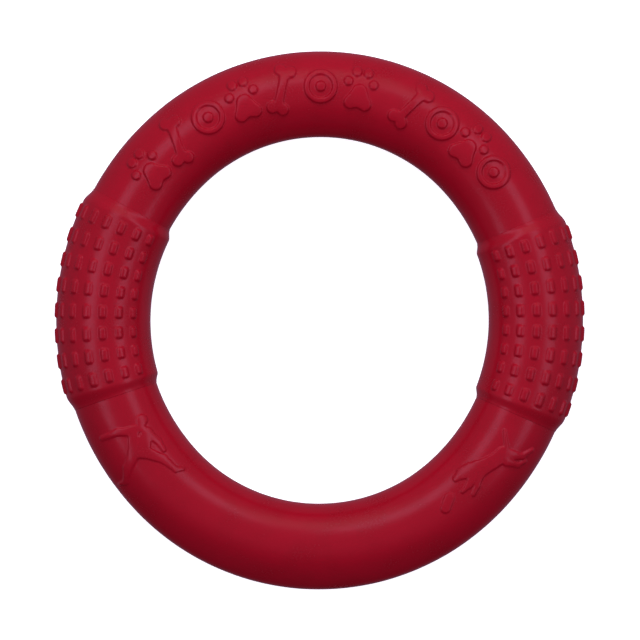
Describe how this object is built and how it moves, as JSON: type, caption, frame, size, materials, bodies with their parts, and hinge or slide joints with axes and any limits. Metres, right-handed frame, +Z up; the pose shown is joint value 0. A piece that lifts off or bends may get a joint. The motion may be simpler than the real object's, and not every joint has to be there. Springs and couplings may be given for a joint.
{
  "type": "flying_ring",
  "caption": "Oval foam flying ring with a round tube, a textured grip sleeve on each side and low raised marks and figures on one face",
  "frame": {"origin": "centre of the hole, on the plane where the two skin halves meet", "axes": "+Z along the ring's axis on the side of the raised marks, +Y across the hole to the middle of the row of marks, +X across the hole to the right grip; rests on its grips with Z up"},
  "size_m": [0.276, 0.28, 0.0514],
  "materials": {
    "foam_skin": "satin moulded foam skin, crimson",
    "foam_grip": "satin moulded foam grip, crimson",
    "foam_cell": "matt closed-cell foam, crimson"
  },
  "bodies": {
    "root": {"foam_core": "foam_cell", "upper_skin": "foam_skin", "lower_skin": "foam_skin", "left_grip": "foam_grip", "right_grip": "foam_grip"}
  },
  "joints": []
}
